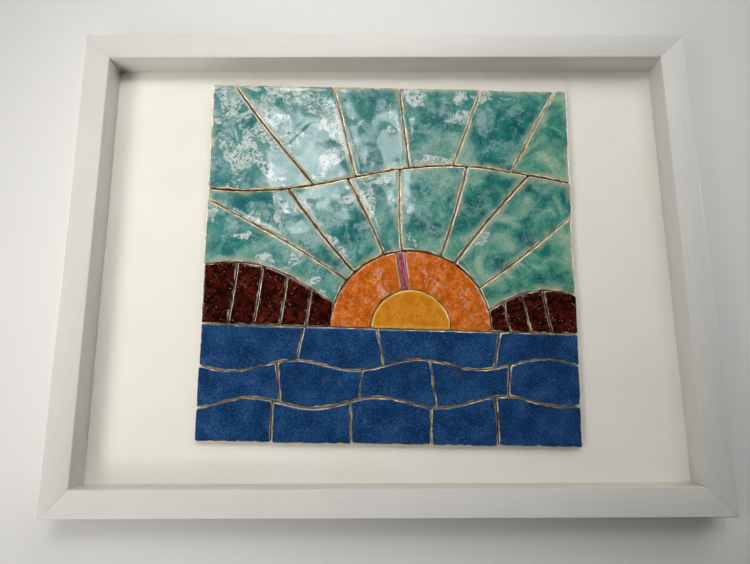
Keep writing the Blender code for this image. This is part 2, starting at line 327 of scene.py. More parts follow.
def tool_mark(points, start, end):
    """A shallow groove with a low burr on each side, fading out at its ends."""
    low, high = points.min(axis=0), points.max(axis=0)
    start, end = low + (high - low) * start, low + (high - low) * end
    part = np.clip(((points - start) @ (end - start)) / ((end - start) @ (end - start)), 0, 1)
    gap = np.linalg.norm(points - (start + part[:, None] * (end - start)), axis=1) / MARK_WIDTH
    profile = np.exp(-(gap**2)) - BURR_HEIGHT * np.exp(-((gap - BURR_PLACE) ** 2))
    return np.sin(np.pi * (0.08 + 0.84 * part)) * MARK_DEPTH * profile


def face_drop(points, edge, name, rng):
    """How far each point of the face lies behind the tile's front, in mm."""
    inner = RIM_RADIUS - np.minimum(edge, RIM_RADIUS)
    drop = RIM_RADIUS - np.sqrt(RIM_RADIUS**2 - inner**2)
    drop -= BEAD_HEIGHT * np.exp(-(((edge - BEAD_PLACE) / BEAD_WIDTH) ** 2))
    away = np.clip((edge - CALM_RIM) / CALM_REACH, 0, 1)
    seed = rng.uniform(0, 900)
    for length, height in SWELLS:
        drop += height * away * waves(points, length, seed + length)
    drop += (points - points.mean(axis=0)) @ [rng.uniform(-TILT, TILT) for _ in (0, 1)]
    if name in TOOL_MARKS:
        drop += away * tool_mark(points, *np.array(TOOL_MARKS[name]))
    return drop


print(f"swells of {[height for _, height in SWELLS]} mm, rim radius {RIM_RADIUS} mm")

# %% [markdown]
# ## From face to tile
# The sides are the knife's cut through the clay. They lean in a hair towards the card. The
# glaze has to know three things at each point, and a mesh can carry them as attributes: how far
# it is from the edge, a place on the tile for the patterns, turned and shifted so that no two
# tiles match, and how milky the kiln left it there. Attributes stay with the mesh when it is
# moved or exported, which coordinates of the room would not.

# %% Build one tile
SIDE_LEAN = (0.0, 0.05, 0.12)
PATTERN_SPREAD = 400.0
MILKY_PLACE = (-0.075, -0.045)
MILKY_REACH = 0.24
MILKY_SPREAD = 0.15
SHARP = math.radians(60)


def tile_mesh(name, seed):
    """The fine mesh of one tile, on its solid's outline."""
    rng = random.Random(seed)
    outline, front, back = outline_of(nodes[name])
    ring = hand_cut(outline, seed)
    face, triangles = fill(ring, rng)
    edge = edge_distance(face, ring)
    edge[: len(ring)] = 0.0
    drop = face_drop(face, edge, name, rng)
    verts = [(x * MM, front + depth * MM, z * MM) for (x, z), depth in zip(face, drop)]
    edge_mm = list(edge)
    faces = [tuple(triangle) for triangle in triangles]
    above = range(len(ring))
    top = front + drop[: len(ring)] * MM
    for row, lean in enumerate(SIDE_LEAN, 1):
        below = range(len(verts), len(verts) + len(ring))
        down = (back - top) * row / len(SIDE_LEAN)
        for (x, z), y, depth in zip(ring - outward(ring) * lean, top, down):
            verts.append((x * MM, y + depth, z * MM))
            edge_mm.append(-depth / MM)
        for here in range(len(ring)):
            there = (here + 1) % len(ring)
            faces.append((above[here], below[here], below[there], above[there]))
        above = below
    faces.append(tuple(reversed(above)))
    mesh = bpy.data.meshes.new(name)
    mesh.from_pydata(verts, [], faces)
    mesh.shade_smooth()
    mesh.set_sharp_from_angle(angle=SHARP)
    turn = rng.uniform(0, 2 * math.pi)
    shift = [rng.uniform(-1, 1) * PATTERN_SPREAD for _ in range(3)]
    across, deep, up = (np.array(verts) / MM).T
    glaze_mm = np.stack(
        [
            across * math.cos(turn) - up * math.sin(turn) + shift[0],
            across * math.sin(turn) + up * math.cos(turn) + shift[1],
            deep + shift[2],
        ],
        axis=1,
    )
    away = np.hypot(across * MM - MILKY_PLACE[0], up * MM - MILKY_PLACE[1])
    luck = rng.uniform(-MILKY_SPREAD, MILKY_SPREAD)
    milk = np.clip(1 - away / MILKY_REACH + luck, 0, 1)
    mesh.attributes.new("edge_mm", "FLOAT", "POINT").data.foreach_set("value", edge_mm)
    mesh.attributes.new("milk", "FLOAT", "POINT").data.foreach_set("value", milk)
    kept = mesh.attributes.new("glaze_mm", "FLOAT_VECTOR", "POINT")
    kept.data.foreach_set("vector", glaze_mm.ravel())
    return mesh


sliver = tile_mesh("sliver_tile", 1)
carried = ", ".join(sliver.attributes.keys()[-3:])
print(f"the sliver's mesh: {len(sliver.polygons)} faces, with {carried}")
bpy.data.meshes.remove(sliver)

# %% [markdown]
# ## What every glaze shares
# A glaze is a layer of coloured glass, so each one is a dielectric with the IOR of glass and a
# low roughness. What differs is the colour that floats in it. All of them meet the clay in the
# same way. They thin out towards the rim, over a band that is broad in one place and missing in
# the next. On the rim itself the pale body shows through as a cream line that is toasted brown
# in places. That line is partly a painted highlight as well, for the light that catches the
# rounded edge. They stop part way down the side, and below that the bare stoneware is brown and
# matt, and deeper in the joint it is painted darker, as painted shade. So the rim, the side, the
# gloss and the faint dimples of the skin are one function, and each glaze only adds its own
# colour.

# %% Rim, side and gloss
GLASS_IOR = 1.5
TOASTED = "#8f6a38"
BARE_CLAY = "#6b4523"
SHADED_CLAY = "#38230f"
BARE_ROUGHNESS = 0.85
# How far the glaze's edge strays, and the lengths of the waves in which things change.
STRAY_MM = 3.0
STRAY_WAVE_MM = 7
BAND_WAVE_MM = 18
TOAST_WAVE_MM = 6
GLOSS_WAVE_MM = 8


def fired(tree, colour, thin, halo, halo_mm, gloss, cover_mm=0.0, dimples=(1.1, 0.006)):
    """Lay the colour on clay: a thin rim, bare sides, gloss and dimples of a size and depth."""
    place = add(tree, "Attribute", attribute_name="glaze_mm", out="Vector")
    edge = add(tree, "Attribute", attribute_name="edge_mm", out="Fac")
    stray = add(tree, "TexNoise", {"Vector": place, "Scale": 1 / STRAY_WAVE_MM, "Detail": 4})
    covered = add(tree, "Math", {0: edge, 1: cover_mm - STRAY_MM / 2}, operation="ADD")
    flow = add(tree, "Math", {0: stray, 1: STRAY_MM, 2: covered}, operation="MULTIPLY_ADD")
    near = add(tree, "MapRange", {0: flow, 1: 0.2, 2: halo_mm + 0.2, 3: 0.75, 4: 0})
    uneven = add(tree, "TexNoise", {"Vector": place, "Scale": 1 / BAND_WAVE_MM, "Detail": 3})
    uneven = add(tree, "MapRange", {0: uneven, 1: 0.44, 2: 0.58, 3: 0.1, 4: 1}, **SOFT)
    near = add(tree, "Math", {0: near, 1: uneven}, operation="MULTIPLY")
    colour = add(tree, "Mix", {0: near, 6: colour, 7: halo}, **COLOURS)
    # The rim line's colour: the pale body, and partly a painted highlight for light on the edge.
    toast = add(tree, "TexNoise", {"Vector": place, "Scale": 1 / TOAST_WAVE_MM, "Detail": 2})
    toast = add(tree, "MapRange", {0: toast, 1: 0.48, 2: 0.60, 4: 0.8}, **SOFT)
    line = add(tree, "Mix", {0: toast, 6: thin, 7: TOASTED}, **COLOURS)
    rim = add(tree, "MapRange", {0: flow, 1: 0.2, 2: 0.6, 3: 0.95, 4: 0}, **SOFT)
    colour = add(tree, "Mix", {0: rim, 6: colour, 7: line}, **COLOURS)
    # Deeper down the side the clay turns to SHADED_CLAY: painted shade in the joint.
    depth = add(tree, "MapRange", {0: edge, 1: -3.0, 2: -0.8}, **SOFT)
    clay = add(tree, "Mix", {0: depth, 6: SHADED_CLAY, 7: BARE_CLAY}, **COLOURS)
    bare = add(tree, "MapRange", {0: flow, 1: -0.7, 2: -0.2, 3: 1, 4: 0}, **SOFT)
    colour = add(tree, "Mix", {0: bare, 6: colour, 7: clay}, **COLOURS)
    cloud = add(tree, "TexNoise", {"Vector": place, "Scale": 1 / GLOSS_WAVE_MM})
    rough = add(tree, "MapRange", {0: cloud, 1: 0.35, 2: 0.65, 3: gloss, 4: gloss + 0.05}, **SOFT)
    rough = add(tree, "Mix", {0: bare, 2: rough, 3: BARE_ROUGHNESS}, data_type="FLOAT")
    size, deep = dimples
    dimpled = add(tree, "TexNoise", {"Vector": place, "Scale": 1 / size, "Detail": 1})
    skin = add(tree, "Bump", {"Height": dimpled, "Distance": deep * MM})
    inputs = {"Base Color": colour, "Roughness": rough, "Normal": skin, "IOR": GLASS_IOR}
    shader = add(tree, "BsdfPrincipled", inputs)
    add(tree, "OutputMaterial", {"Surface": shader})


print(f"glass IOR {GLASS_IOR}, bare clay roughness {BARE_ROUGHNESS}")

# %% [markdown]
# ## Turquoise glaze
# Copper in a milky stoneware glaze, poured or dipped. It pools deep teal about 26 mm across and
# breaks to sage where it is thin. Over that lies a bluish haze of tiny bubbles, in clouds with a
# grainy edge. Where the glaze is milkiest and cooled slowly, it grew curdled white crystals, in
# patches with curls 5 mm across. To the eye it is the liveliest finish on the panel: no part of
# it is one flat colour. A painted pattern would repeat from tile to tile, so all of this is made
# from noise at six sizes, which never does.

# %% Turquoise: pools and haze
POOL_MM = 26
HAZE_MM = 17
STIPPLE_MM = 1.2


def milky_pools(tree, place, milk):
    """Teal and sage pools under a grainy bluish haze."""
    inputs = {"Scale": 1 / POOL_MM, "Detail": 5, "Roughness": 0.55, "Distortion": 0.9}
    pools = add(tree, "TexNoise", {"Vector": place, **inputs})
    clear = [(0.36, "#0a5659"), (0.45, "#22756c"), (0.53, "#4d927f"), (0.61, "#7fa992")]
    clear = add(tree, "ValToRGB", {0: pools}, stops=[*clear, (0.70, "#a6ba9c")])
    milky = [(0.30, "#195961"), (0.44, "#337577"), (0.58, "#528b8a"), (0.74, "#82a89f")]
    milky = add(tree, "ValToRGB", {0: pools}, stops=milky)
    colour = add(tree, "Mix", {0: milk, 6: clear, 7: milky}, **COLOURS)
    inputs = {"Scale": 1 / HAZE_MM, "Detail": 12, "Roughness": 0.78, "Distortion": 0.3}
    haze = add(tree, "TexNoise", {"Vector": place, **inputs})
    haze = add(tree, "MapRange", {0: haze, 1: 0.46, 2: 0.61}, **SOFT)
    cloudy = add(tree, "MapRange", {0: milk, 1: 0.1, 2: 0.7, 3: 0.35, 4: 0.95}, **SOFT)
    haze = add(tree, "Math", {0: haze, 1: cloudy}, operation="MULTIPLY")
    misty = add(tree, "MapRange", {0: milk, 1: 0.1, 2: 0.6}, **SOFT)
    misty = add(tree, "Mix", {0: misty, 6: "#8eb39d", 7: "#93b3b4"}, **COLOURS)
    colour = add(tree, "Mix", {0: haze, 6: colour, 7: misty}, **COLOURS)
    inputs = {"Vector": place, "Scale": 1 / STIPPLE_MM, "Detail": 3, "Roughness": 0.7}
    stipple = add(tree, "TexNoise", inputs)
    stipple = add(tree, "MapRange", {0: stipple, 1: 0.32, 2: 0.68, 3: 0.82, 4: 1.18}, **SOFT)
    inputs = {0: 1.0, 6: colour, 7: stipple}
    return add(tree, "Mix", inputs, blend_type="MULTIPLY", **COLOURS)


print(f"pools {POOL_MM} mm across, haze {HAZE_MM} mm")

# %% Turquoise: crystals
PATCH_MM = 24
CURL_MM = 5
THICK_MM = 6


def curdled(tree, place, milk, colour):
    """White crystals in curls, over the colour, where the glaze is milky."""
    inputs = {"Scale": 1 / PATCH_MM, "Detail": 8, "Roughness": 0.58, "Distortion": 0.5}
    growth = add(tree, "TexNoise", {"Vector": place, **inputs})
    growth = add(tree, "Math", {0: milk, 1: 0.23, 2: growth}, operation="MULTIPLY_ADD")
    border = add(tree, "MapRange", {0: growth, 1: 0.65, 2: 0.70, 4: 0.45}, **SOFT)
    colour = add(tree, "Mix", {0: border, 6: colour, 7: "#3f827c"}, **COLOURS)
    inputs = {"Scale": 1 / CURL_MM, "Detail": 5, "Roughness": 0.6, "Distortion": 2.6}
    curls = add(tree, "TexNoise", {"Vector": place, **inputs})
    curls = add(tree, "MapRange", {0: curls, 1: 0.36, 2: 0.54}, **SOFT)
    curls = add(tree, "Mix", {0: curls, 6: "#457673", 7: "#ced9d6"}, **COLOURS)
    thick = add(tree, "TexNoise", {"Vector": place, "Scale": 1 / THICK_MM, "Detail": 3})
    thick = add(tree, "MapRange", {0: thick, 1: 0.36, 2: 0.58, 3: 0.5, 4: 1}, **SOFT)
    grown = add(tree, "MapRange", {0: growth, 1: 0.70, 2: 0.73, 4: 0.95}, **SOFT)
    grown = add(tree, "Math", {0: grown, 1: thick}, operation="MULTIPLY")
    return add(tree, "Mix", {0: grown, 6: colour, 7: curls}, **COLOURS)


print(f"crystals in patches of {PATCH_MM} mm, curls {CURL_MM} mm across")


# %% Turquoise: the whole glaze
def turquoise_glaze():
    """Milky pools with curdled white crystals."""
    material, tree = new_material("turquoise_copper_glaze")
    place = add(tree, "Attribute", attribute_name="glaze_mm", out="Vector")
    milk = add(tree, "Attribute", attribute_name="milk", out="Fac")
    colour = curdled(tree, place, milk, milky_pools(tree, place, milk))
    # cover_mm -0.4 moves the cream rim 0.4 mm further onto the face: more painted highlight.
    fired(tree, colour, thin="#ead6b2", halo="#b0b397", halo_mm=4.2, gloss=0.05, cover_mm=-0.4)
    return material


turquoise = turquoise_glaze()
print(turquoise.name, len(turquoise.node_tree.nodes), "nodes")

# %% [markdown]
# ## Cobalt glaze
# Cobalt gives an even, deep blue, and it is the glossiest glaze here. It is grained all over
# with lighter and darker specks about a millimetre across, with a few greyish clouds, and it
# gathers nearly black along the rim before it breaks to cream. The eye reads it as dark water
# with a slight grain.

# %% Cobalt: a deep blue with a fine grain
DEPTH_MM = 16
GRAIN_MM = 1.2
SPECK_MM = 0.8
GREY_MM = 14


def cobalt_glaze():
    """Even blue, finely grained."""
    material, tree = new_material("cobalt_blue_glaze")
    place = add(tree, "Attribute", attribute_name="glaze_mm", out="Vector")
    broad = add(tree, "TexNoise", {"Vector": place, "Scale": 1 / DEPTH_MM, "Detail": 6})
    blues = [(0.36, "#0f3159"), (0.50, "#173c69"), (0.64, "#224874")]
    colour = add(tree, "ValToRGB", {0: broad}, stops=blues)
    inputs = {"Vector": place, "Scale": 1 / GRAIN_MM, "Detail": 4, "Roughness": 0.7}
    grain = add(tree, "TexNoise", inputs)
    grain = add(tree, "MapRange", {0: grain, 1: 0.32, 2: 0.68, 3: 0.55, 4: 1.5}, **SOFT)
    inputs = {0: 1.0, 6: colour, 7: grain}
    colour = add(tree, "Mix", inputs, blend_type="MULTIPLY", **COLOURS)
    pale = add(tree, "TexNoise", {"Vector": place, "Scale": 1 / SPECK_MM, "Detail": 1})
    pale = add(tree, "MapRange", {0: pale, 1: 0.55, 2: 0.70, 4: 0.4}, **SOFT)
    colour = add(tree, "Mix", {0: pale, 6: colour, 7: "#4d7096"}, **COLOURS)
    inputs = {"Scale": 1 / GREY_MM, "Detail": 8, "Roughness": 0.75, "Distortion": 0.3}
    grey = add(tree, "TexNoise", {"Vector": place, **inputs})
    grey = add(tree, "MapRange", {0: grey, 1: 0.54, 2: 0.72, 4: 0.35}, **SOFT)
    colour = add(tree, "Mix", {0: grey, 6: colour, 7: "#5d6f8a"}, **COLOURS)
    fired(tree, colour, thin="#ecd6a8", halo="#0b1d35", halo_mm=0.9, gloss=0.03, cover_mm=0.1)
    return material


cobalt = cobalt_glaze()
print(cobalt.name, len(cobalt.node_tree.nodes), "nodes")

# %% [markdown]
# ## Oxblood glaze
# Iron and copper fired together give a red so dark that it looks black where it lies thick, in
# pools 3 to 5 mm across. It is very glossy and a little pitted, with pale flecks in clusters
# where a bubble burst. Along the rim more flecks are painted on as a painted highlight, for the
# sparks of light that the eye sees there.

# %% Oxblood: dark red with black pools
RED_MM = 9
BLACK_MM = 4.5
PIT_MM = 1.9
CLUSTER_MM = 7


def oxblood_glaze():
    """Dark red-brown with black pools, a pitted gloss and painted sparkle along the rim."""
    material, tree = new_material("oxblood_iron_glaze")
    place = add(tree, "Attribute", attribute_name="glaze_mm", out="Vector")
    inputs = {"Scale": 1 / RED_MM, "Detail": 7, "Roughness": 0.65, "Distortion": 0.5}
    red = add(tree, "TexNoise", {"Vector": place, **inputs})
    reds = [(0.34, "#230604"), (0.48, "#3b1008"), (0.60, "#521b10"), (0.76, "#7a3f2a")]
    colour = add(tree, "ValToRGB", {0: red}, stops=reds)
    inputs = {"Scale": 1 / BLACK_MM, "Detail": 4, "Roughness": 0.6, "Distortion": 0.6}
    pool = add(tree, "TexNoise", {"Vector": place, **inputs})
    pool = add(tree, "MapRange", {0: pool, 1: 0.45, 2: 0.60, 4: 0.92}, **SOFT)
    colour = add(tree, "Mix", {0: pool, 6: colour, 7: "#0e0302"}, **COLOURS)
    # Pale flecks: burst bubbles in clusters, and a painted highlight along the rim.
    fleck_and_sparkle = add(tree, "TexVoronoi", {"Vector": place, "Scale": 1 / PIT_MM})
    fleck_and_sparkle = add(tree, "MapRange", {0: fleck_and_sparkle, 1: 0.09, 2: 0.18, 3: 1, 4: 0}, **SOFT)
    cluster = add(tree, "TexNoise", {"Vector": place, "Scale": 1 / CLUSTER_MM, "Detail": 1})
    cluster = add(tree, "MapRange", {0: cluster, 1: 0.5, 2: 0.6, 4: 0.9}, **SOFT)
    edge = add(tree, "Attribute", attribute_name="edge_mm", out="Fac")
    # Along the rim the pale flecks are a painted highlight: sparks of light on the bead.
    rim_sparkle = add(tree, "MapRange", {0: edge, 1: 1.6, 2: 2.4, 3: 1, 4: 0}, **SOFT)
    cluster = add(tree, "Math", {0: cluster, 1: rim_sparkle}, operation="MAXIMUM")
    fleck_and_sparkle = add(tree, "Math", {0: fleck_and_sparkle, 1: cluster}, operation="MULTIPLY")
    colour = add(tree, "Mix", {0: fleck_and_sparkle, 6: colour, 7: "#d8bfa6"}, **COLOURS)
    pits = {"cover_mm": 0.2, "dimples": (1.8, 0.06)}
    fired(tree, colour, thin="#e9dcc4", halo="#120403", halo_mm=0.8, gloss=0.03, **pits)
    return material


oxblood = oxblood_glaze()
print(oxblood.name, len(oxblood.node_tree.nodes), "nodes")

# %% [markdown]
# ## Orange glaze
# An iron glaze over a pale slip. It is thin enough for the slip to show in pinkish clouds about
# 9 mm across, and all of it is finely flecked. It is a little less glossy than the blue.

# %% Orange: burnt orange with pink clouds
MOTTLE_MM = 5
PINK_MM = 9
SPOT_GAP_MM = 2.4
FLECK_MM = 1.3


def orange_glaze():
    """Burnt orange, clouded pink and specked brown."""
    material, tree = new_material("orange_iron_glaze")
    place = add(tree, "Attribute", attribute_name="glaze_mm", out="Vector")
    inputs = {"Scale": 1 / MOTTLE_MM, "Detail": 8, "Roughness": 0.75}
    mottle = add(tree, "TexNoise", {"Vector": place, **inputs})
    oranges = [(0.34, "#a34c08"), (0.48, "#c46116"), (0.64, "#dc8038")]
    colour = add(tree, "ValToRGB", {0: mottle}, stops=oranges)
    inputs = {"Scale": 1 / PINK_MM, "Detail": 9, "Roughness": 0.75, "Distortion": 0.5}
    pink = add(tree, "TexNoise", {"Vector": place, **inputs})
    pink = add(tree, "MapRange", {0: pink, 1: 0.51, 2: 0.68, 4: 0.75}, **SOFT)
    colour = add(tree, "Mix", {0: pink, 6: colour, 7: "#d9a98e"}, **COLOURS)
    spots = add(tree, "TexVoronoi", {"Vector": place, "Scale": 1 / SPOT_GAP_MM})
    spots = add(tree, "MapRange", {0: spots, 1: 0.10, 2: 0.18, 3: 0.8, 4: 0}, **SOFT)
    colour = add(tree, "Mix", {0: spots, 6: colour, 7: "#7c4312"}, **COLOURS)
    inputs = {"Vector": place, "Scale": 1 / FLECK_MM, "Detail": 4, "Roughness": 0.75}
    grain = add(tree, "TexNoise", inputs)
    grain = add(tree, "MapRange", {0: grain, 1: 0.32, 2: 0.68, 3: 0.72, 4: 1.28}, **SOFT)
    inputs = {0: 1.0, 6: colour, 7: grain}
    colour = add(tree, "Mix", inputs, blend_type="MULTIPLY", **COLOURS)
    pits = {"cover_mm": 0.2, "dimples": (1.6, 0.03)}
    fired(tree, colour, thin="#e6b98c", halo="#c4742c", halo_mm=1.2, gloss=0.08, **pits)
    return material


orange = orange_glaze()
print(orange.name, len(orange.node_tree.nodes), "nodes")

# %% [markdown]
# ## Ochre and raspberry glazes
# The ochre one is even, with brown specks 0.7 mm across at 2 mm spacing, and it turns yellow
# where it thins towards the rim. The narrow sliver was dipped in raspberry, a chrome and tin
# pink that fires streaky.

# %% Ochre and raspberry
OCHRE_MM = 6
OCHRE_SPOT_GAP_MM = 2
STREAK_MM = 2


def ochre_glaze():
    """Even ochre, specked, with a yellow rim."""
    material, tree = new_material("ochre_iron_glaze")
    place = add(tree, "Attribute", attribute_name="glaze_mm", out="Vector")
    edge = add(tree, "Attribute", attribute_name="edge_mm", out="Fac")
    broad = add(tree, "TexNoise", {"Vector": place, "Scale": 1 / OCHRE_MM, "Detail": 4})
    broad = add(tree, "MapRange", {0: broad, 1: 0.35, 2: 0.65}, **SOFT)
    colour = add(tree, "Mix", {0: broad, 6: "#c67914", 7: "#d68b24"}, **COLOURS)
    spots = add(tree, "TexVoronoi", {"Vector": place, "Scale": 1 / OCHRE_SPOT_GAP_MM})
    spots = add(tree, "MapRange", {0: spots, 1: 0.13, 2: 0.24, 3: 1, 4: 0}, **SOFT)
    colour = add(tree, "Mix", {0: spots, 6: colour, 7: "#6a4016"}, **COLOURS)
    yellow = add(tree, "MapRange", {0: edge, 1: 1.0, 2: 2.6, 3: 0.9, 4: 0}, **SOFT)
    colour = add(tree, "Mix", {0: yellow, 6: colour, 7: "#dba524"}, **COLOURS)
    fired(tree, colour, thin="#e8c76c", halo="#dba63a", halo_mm=1.0, gloss=0.15)
    return material


def raspberry_glaze():
    """Streaky dark pink."""
    material, tree = new_material("raspberry_chrome_tin_glaze")
    place = add(tree, "Attribute", attribute_name="glaze_mm", out="Vector")
    streaks = add(tree, "TexNoise", {"Vector": place, "Scale": 1 / STREAK_MM, "Detail": 4})
    streaks = add(tree, "MapRange", {0: streaks, 1: 0.35, 2: 0.65}, **SOFT)
    colour = add(tree, "Mix", {0: streaks, 6: "#82253a", 7: "#b65264"}, **COLOURS)
    fired(tree, colour, thin="#d0958b", halo="#9c434d", halo_mm=0.5, gloss=0.10)
    return material


ochre, raspberry = ochre_glaze(), raspberry_glaze()
print(ochre.name, "and", raspberry.name)

# %% [markdown]
# ## All the tiles
# Every tile solid has a name that says what it is part of, and that decides its glaze. The fine
# mesh then stands for the solid. The tiles are also gathered in a collection of their own, so
# that some of the lamps can be told to reach them alone.

# %% Make every tile
GLAZES = {
    "sky": ("turquoise_glaze", turquoise),
    "sea": ("cobalt_glaze", cobalt),
    "hill": ("oxblood_glaze", oxblood),
    "glow": ("orange_glaze", orange),
    "sun": ("ochre_glaze", ochre),
    "sliver": ("raspberry_glaze", raspberry),
}
glazed_tiles = bpy.data.collections.new("glazed_tiles")
for seed, name in enumerate(sorted(name for name in nodes if "_tile" in name), 1):
    slot, glaze = GLAZES[name.split("_")[0]]
    tile = bpy.data.objects.new("glazed_" + name, tile_mesh(name, seed))
    tile.data.materials.append(glaze)
    bpy.context.scene.collection.objects.link(tile)
    glazed_tiles.objects.link(tile)
    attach(tile, "root")
    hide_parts(name)

# %% [markdown]
# ## The white frame
# The rails are a fibreboard moulding with a sprayed white satin coat, mitred at the corners. The
# solids have the right form, but every edge is perfectly sharp, and they keep 0.3 mm apart at
# the corners. They could be modelled again, but a copy of each solid keeps its faces and only
# needs its long edges eased with a narrow bevel. It grows by a hair at both ends, which leaves
# little over a tenth of a millimetre between the mitres, so that the joint shows as the hairline
# that a good corner has.

# %% Rails with eased edges
EASE = 0.20 * MM
HAIRLINE = 0.03 * MM
GROWTH = 0.12 * MM
EASE_ANGLE = math.radians(35)
FLAT = math.radians(1)


def eased_rail(name):
    """A copy of a rail's solid with its edges eased, and a place along the rail for its grain."""
    mesh = nodes[name].data.copy()
    block = bmesh.new()
    block.from_mesh(mesh)
    bmesh.ops.remove_doubles(block, verts=block.verts, dist=MERGE)
    bmesh.ops.dissolve_limit(block, angle_limit=FLAT, verts=block.verts, edges=block.edges)
    low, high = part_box(name)
    along = 2 if high.z - low.z > high.x - low.x else 0
    halfway = (low[along] + high[along]) / 2
    for vert in block.verts:
        vert.co[along] += math.copysign(GROWTH, vert.co[along] - halfway)
    for width, lengthwise in ((EASE, True), (HAIRLINE, False)):
        edges = []
        for edge in block.edges:
            way = (edge.verts[1].co - edge.verts[0].co).normalized()
            is_long = abs(way[along]) > 0.99
            if edge.calc_face_angle() > EASE_ANGLE and is_long == lengthwise:
                edges.append(edge)
        bmesh.ops.bevel(block, geom=edges, offset=width, segments=2, profile=0.5, affect="EDGES")
    block.to_mesh(mesh)
    block.free()
    mesh.shade_smooth()
    mesh.set_sharp_from_angle(angle=EASE_ANGLE)
    grain = []
    for vert in mesh.vertices:
        x, y, z = vert.co / MM
        grain += [z, x, y] if along == 2 else [x, z, y]
    mesh.attributes.new("grain_mm", "FLOAT_VECTOR", "POINT").data.foreach_set("vector", grain)
    rail = bpy.data.objects.new("lacquered_" + name, mesh)
    bpy.context.scene.collection.objects.link(rail)
    return rail


print(f"long edges eased {EASE / MM:.2f} mm, mitres {HAIRLINE / MM:.2f} mm")

# %% [markdown]
# ## White satin lacquer
# A pigmented lacquer, sprayed and rubbed down once between coats. That leaves a satin gloss, a
# roughness near 0.4, and rubbing marks along the rail that are so faint that they only show as a
# slight unevenness. Real ones are 0.1 mm wide. They are drawn 0.8 mm wide here, because finer
# ones would not show at all.

# %% Satin lacquer
RUB_MM = 0.8
RUB_DRAWN_OUT = 50
RUB_HEIGHT = 0.002 * MM
SPRAY_MM = 30


def satin_lacquer():
    """A satin coat over fibreboard, with the faintest marks along the rail."""
    material, tree = new_material("white_satin_lacquer")
    place = add(tree, "Attribute", attribute_name="grain_mm", out="Vector")
    drawn_out = add(tree, "Mapping", {"Vector": place, "Scale": (1 / RUB_DRAWN_OUT, 1, 1)})
    marks = add(tree, "TexNoise", {"Vector": drawn_out, "Scale": 1 / RUB_MM, "Detail": 2})
    spray = add(tree, "TexNoise", {"Vector": place, "Scale": 1 / SPRAY_MM, "Detail": 3})
    tone = add(tree, "Math", {0: marks, 1: spray}, operation="ADD")
    tone = add(tree, "MapRange", {0: tone, 1: 0.8, 2: 1.2}, **SOFT)
    colour = add(tree, "Mix", {0: tone, 6: "#dfddd8", 7: "#e3e1dc"}, **COLOURS)
    rough = add(tree, "MapRange", {0: marks, 1: 0.3, 2: 0.7, 3: 0.38, 4: 0.46}, **SOFT)
    skin = add(tree, "Bump", {"Height": marks, "Distance": RUB_HEIGHT})
    inputs = {"Base Color": colour, "Roughness": rough, "Normal": skin, "IOR": 1.48}
    add(tree, "OutputMaterial", {"Surface": add(tree, "BsdfPrincipled", inputs)})
    return material


lacquer = satin_lacquer()
for name in ("rail_top", "rail_bottom", "rail_left", "rail_right"):
    rail = eased_rail(name)
    rail.data.materials.clear()
    rail.data.materials.append(lacquer)
    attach(rail, "root")
    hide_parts(name)
    print(f"{rail.name}: {len(rail.data.polygons)} faces")

# %% [markdown]
# ## The card and the back
# Mount card is thick uncoated paper. Its fibres are far finer than a millimetre, so the eye only
# gets an even, perfectly matt, warm white. Its tooth is drawn 0.8 mm wide, because a true one
# would not show. The back is hardboard, wood fibre pressed hot, brown and smooth, with darker
# and lighter fibres 3 mm long. Both are flat sheets, so their solids stay and only get these
# materials. Their patterns read the object's own coordinates, turned from metres into
# millimetres.

# %% Mount card
TOOTH_MM = 0.8
BROAD_MM = 45
TOOTH_HEIGHT = 0.02 * MM


def mount_card():
    """Uncoated mount board, warm white."""
    material, tree = new_material("matt_mount_card")
    here = add(tree, "TexCoord", out="Object")
    place = add(tree, "Mapping", {"Vector": here, "Scale": (1 / MM, 1 / MM, 1 / MM)})
    inputs = {"Vector": place, "Scale": 1 / TOOTH_MM, "Detail": 3, "Roughness": 0.6}
    tooth = add(tree, "TexNoise", inputs)
    broad = add(tree, "TexNoise", {"Vector": place, "Scale": 1 / BROAD_MM})
    tone = add(tree, "Math", {0: tooth, 1: broad}, operation="ADD")
    tone = add(tree, "MapRange", {0: tone, 1: 0.75, 2: 1.25}, **SOFT)
    colour = add(tree, "Mix", {0: tone, 6: "#eeebe1", 7: "#f2efe7"}, **COLOURS)
    skin = add(tree, "Bump", {"Height": tooth, "Distance": TOOTH_HEIGHT})
    inputs = {"Base Color": colour, "Roughness": 0.92, "Normal": skin, "IOR": 1.45}
    add(tree, "OutputMaterial", {"Surface": add(tree, "BsdfPrincipled", inputs)})
    return material


print(f"tooth {TOOTH_MM} mm wide, {TOOTH_HEIGHT / MM:.2f} mm high")

# %% Hardboard
FIBRE_LENGTH = 3.0 * MM
FIBRE_WIDTH = 0.6 * MM
FIBRE_HEIGHT = 0.04 * MM


